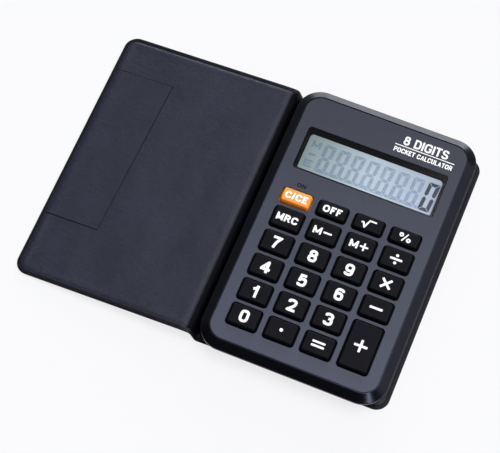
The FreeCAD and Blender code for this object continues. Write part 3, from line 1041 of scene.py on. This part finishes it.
def memory_sign(x, y, plus):
    shapes = words("M", x - 1.95, y, 2.85, 2.6, 0.62) + bar(x + 1.5, y, 2.8, 0.6)
    if plus:
        shapes += bar(x + 1.5, y, 2.8, 0.6, math.radians(90))
    return shapes


def percent_sign(x, y):
    shapes = pen_line([(x - 0.75, y - 1.4), (x + 0.75, y + 1.4)], 0.45)
    for side in (-1, 1):
        shapes += pen_line(circle(x + side * 1.35, y - side * 0.68, 0.5, 0.52, 20), 0.5, closed=True)
    return shapes


def root_sign(x, y):
    """A thin hook that runs into a heavier tick and roof."""
    tick = [(x - 1.8, y + 0.3), (x - 1.0, y - 1.45), (x + 0.1, y + 1.2), (x + 2.4, y + 1.2)]
    return pen_line([(x - 2.4, y - 0.1), (x - 1.75, y + 0.3)], 0.42) + pen_line(tick, 0.55)


def key_sign(name, x, y):
    """Outlines of the sign on one key."""
    upright = math.radians(90)
    if name.isdigit():
        return words(name, x, y, None, digit_height, 0.9)
    if name in key_words:
        text, width, height, weight = key_words[name]
        return words(text, x, y, width, height, weight)
    if name in ("memory_minus", "memory_plus"):
        return memory_sign(x, y, name == "memory_plus")
    if name == "percent":
        return percent_sign(x, y)
    if name == "root":
        return root_sign(x, y)
    if name == "divide":
        return bar(x, y, 4.1, 0.75) + dot(x, y + 1.35, 1.0) + dot(x, y - 1.35, 1.0)
    if name == "multiply":
        return bar(x, y, 4.5, 0.8, upright / 2) + bar(x, y, 4.5, 0.8, -upright / 2)
    if name == "minus":
        return bar(x, y, 4.3, 0.8)
    if name == "plus":
        return bar(x, y, 4.4, 0.8) + bar(x, y, 4.3, 0.8, upright)
    if name == "equals":
        return bar(x, y + 0.7, 4.3, 0.7) + bar(x, y - 0.7, 4.3, 0.7)
    return dot(x, y + 0.1, 1.15)


def make_legends(white):
    for node in key_nodes():
        name = node[4:]
        printed("legend_" + name, key_sign(name, *key_centre(node)), white, node, cad_nodes[node])


def make_face_print(white, dark):
    """Generic wording beside the display, and the small word over the clear key."""
    plate = cad_nodes["face_plate"]
    shapes = words("8 DIGITS", 14.0, 41.4, 15.4, 3.3, 0.6)
    shapes += bar(14.2, 39.15, 20.6, 0.28)
    shapes += words("POCKET CALCULATOR", 14.25, 37.4, 20.2, 1.75, 0.34)
    printed("face_print", shapes, white, "calculator", plate)
    x, _ = key_centre("key_clear")
    shapes = words("O", x - 0.9, 12.9, 1.6, 1.35, 0.32)
    shapes += pen_line([(x + 0.3, 12.2), (x + 0.3, 13.5), (x + 1.3, 12.3), (x + 1.3, 13.6)], 0.32)
    printed("on_print", shapes, dark, "calculator", plate)


# -------- display


def segment_outlines():
    """The seven bars of a digit round its centre; the middle bar comes third."""
    half_w, half_h = segment_width / 2, segment_height / 2
    half_stroke = segment_stroke / 2
    reach, near = half_w - segment_gap, half_w - segment_stroke - segment_gap
    bars = []
    for sign in (1, -1):
        outer, inner = sign * half_h, sign * (half_h - segment_stroke)
        bars.append([(-reach, outer), (reach, outer), (near, inner), (-near, inner)])
    tip = half_w - half_stroke - segment_gap
    upper = [(-tip, 0), (-near, half_stroke), (near, half_stroke), (tip, 0)]
    bars.append(upper + [(near, -half_stroke), (-near, -half_stroke)])
    low, high = half_stroke + segment_gap, half_h - segment_gap
    for side in (-1, 1):
        outer, centre, inner = [side * (half_w - depth) for depth in (0.0, half_stroke, segment_stroke)]
        for level in (-1, 1):
            short = high - segment_stroke
            heights = ((outer, high), (outer, low), (centre, segment_gap), (inner, low), (inner, short))
            bars.append([(place, level * height) for place, height in heights])
    return bars


def leaning(bars, x, y):
    """Bars moved to (x, y) and slanted with the digits."""
    base = y - digit_middle_y
    return [[(x + px + segment_slant * (base + py), y + py) for px, py in ring] for ring in bars]


def make_display(idle_look, lit_look):
    """Idle segments, the mark column at the left, and the zero that is lit at the right."""
    film = cad_nodes["lcd_front_polariser"]
    digit = segment_outlines()
    half = segment_stroke * 0.42
    point = [[(-half, -half), (half, -half), (half, half), (-half, half)]]
    point_y = digit_middle_y - segment_height / 2 + half
    idle = []
    for index in range(digit_count - 1):
        x = first_digit_x + digit_pitch * index
        idle += leaning(digit, x, digit_middle_y)
        idle += leaning(point, x + digit_pitch / 2, point_y)
    column = first_digit_x - digit_pitch + 0.5
    idle += words("M", column + 0.2, digit_middle_y + 3.9, 3.2, 2.6, 0.7)
    idle += bar(column, digit_middle_y, 2.5, 0.75)
    idle += words("E", column - 0.2, digit_middle_y - 3.5, 3.0, 2.8, 0.7)
    lit = leaning(digit[:2] + digit[3:], first_digit_x + digit_pitch * (digit_count - 1), digit_middle_y)
    printed("idle_segments", idle, idle_look, "calculator", film, 0.01, 0.004)
    printed("lit_zero", lit, lit_look, "calculator", film, 0.012, 0.006)


# -------- key domes


def beside(place, centre, reach):
    return math.hypot(place.x - centre.x, place.y - centre.y) < reach * mm


def part_of(node, name, material, wanted, rims=()):
    """A piece made of the wanted faces of a CAD node, closed again round each rim centre."""
    work = bmesh.new()
    work.from_mesh(cad_nodes[node].data)
    bmesh.ops.remove_doubles(work, verts=work.verts, dist=1e-7)
    others = [face for face in work.faces if not wanted(face.calc_center_median())]
    bmesh.ops.delete(work, geom=others, context="FACES")
    for centre in rims:
        open_edges = [edge for edge in work.edges if edge.is_boundary]
        rim = [edge for edge in open_edges if beside(edge.verts[0].co, centre, rim_reach)]
        bmesh.ops.bridge_loops(work, edges=rim)
    return object_from_bmesh(name, work, material, smooth=False)


def make_dome(node, centre, silicone, carbon):
    """The dome under one key, and the pill that rides the key."""
    def under_key(place):
        return beside(place, centre, dome_reach)

    dome = part_of("keypad_mat", "dome_" + node[4:], silicone, under_key, [centre])
    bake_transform(dome)
    pill = part_of("contact_pills", "pill_" + node[4:], carbon, under_key)
    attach(pill, node)
    return pill


def make_domes(silicone, carbon):
    """The silicone mat with one dome under each key."""
    centres = [Vector((*key_centre(node), 0.0)) * mm for node in key_nodes()]

    def between_domes(place):
        return not any(beside(place, centre, dome_reach) for centre in centres)

    sheet = part_of("keypad_mat", "dome_sheet", silicone, between_domes, centres)
    stand_for(sheet, "silicone", "keypad_mat")
    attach(sheet, "calculator")
    for node, centre in zip(key_nodes(), centres):
        make_dome(node, centre, silicone, carbon)
    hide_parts("contact_pills")


# -------- studio


def dress_cad_nodes(materials):
    """Gives each carried-over node the material of its slot."""
    slots = {row["node"]: row["material_slot"] for row in frame["record"]["subparts"]}
    for name, node in cad_nodes.items():
        node.data.materials.clear()
        node.data.materials.append(materials[slots[name]])


def make_floor():
    material, tree = new_material("pale_floor")
    tone = spread(tree, noise_of(tree, place_of(tree), 40.0), 0.995, 1.005)
    inputs = {
        "Base Color": shaded(tree, (floor_tone, floor_tone, floor_tone), tone),
        "Roughness": 1.0,
        "Specular IOR Level": 0.0,
        "Emission Color": (0.985, 0.985, 1.0, 1.0),
        "Emission Strength": floor_glow,
    }
    close_material(tree, add_node(tree, "BsdfPrincipled", inputs))
    work = bmesh.new()
    bmesh.ops.create_grid(work, x_segments=2, y_segments=2, size=1.5)
    floor = object_from_bmesh("studio_floor", work, material)
    floor.location = (0.0, 0.0, cad_low.z - 0.03 * mm)


def glow(tree, way, centre, inner, outer, strength):
    """Light from a round patch of the surroundings, fading between two angles."""
    centre = Vector(centre).normalized()
    facing = add_node(tree, "VectorMath", {0: way, 1: centre}, operation="DOT_PRODUCT").outputs["Value"]
    fade = (math.cos(math.radians(outer)), math.cos(math.radians(inner)))
    return mapped(tree, facing, fade, (0.0, strength), interpolation_type="SMOOTHSTEP")


def make_world():
    """Studio surroundings: a dim room, brighter behind the object, with round patches of light."""
    world = bpy.data.worlds.new("studio")
    bpy.context.scene.world = world
    world.use_nodes = True
    tree = world.node_tree
    tree.nodes.clear()
    way = add_node(tree, "TexCoord").outputs["Generated"]
    depth = along(tree, way, "Y")
    total = mapped(tree, depth, (-0.3, 0.7), (room_front, room_back), interpolation_type="SMOOTHSTEP")
    for patch in sky_patches:
        total = calculated(tree, "ADD", total, glow(tree, way, *patch))
    total = calculated(tree, "MULTIPLY", total, sky_level)
    output = add_node(tree, "OutputWorld")
    background = add_node(tree, "Background", {"Color": (0.975, 0.98, 1.0, 1.0), "Strength": total})
    tree.links.new(background.outputs[0], output.inputs["Surface"])


def make_camera():
    data = bpy.data.cameras.new("camera")
    data.lens = camera_lens
    data.clip_start = 0.01
    data.clip_end = 10.0
    camera = bpy.data.objects.new("camera", data)
    bpy.context.scene.collection.objects.link(camera)
    azimuth, elevation = math.radians(camera_azimuth), math.radians(camera_elevation)
    level = math.cos(elevation)
    back = Vector((math.sin(azimuth) * level, -math.cos(azimuth) * level, math.sin(elevation)))
    camera.location = camera_target + back * camera_distance
    camera.rotation_mode = "QUATERNION"
    roll = Matrix.Rotation(math.radians(camera_roll), 3, "Z").to_quaternion()
    camera.rotation_quaternion = (-back).to_track_quat("-Z", "Y") @ roll
    bpy.context.scene.camera = camera


materials = make_materials()
dress_cad_nodes(materials)
make_cover(materials["vinyl_outer"], materials["vinyl_liner"])
make_back(materials["vinyl_outer"], materials["vinyl_liner_painted_shade"])
make_legends(materials["print_white"])
make_face_print(materials["print_white"], materials["print_dark"])
make_display(materials["segment_idle"], materials["segment_on"])
make_domes(materials["silicone"], materials["carbon_rubber"])
make_floor()
make_world()
make_camera()
bpy.context.scene.view_settings.view_transform = "Standard"
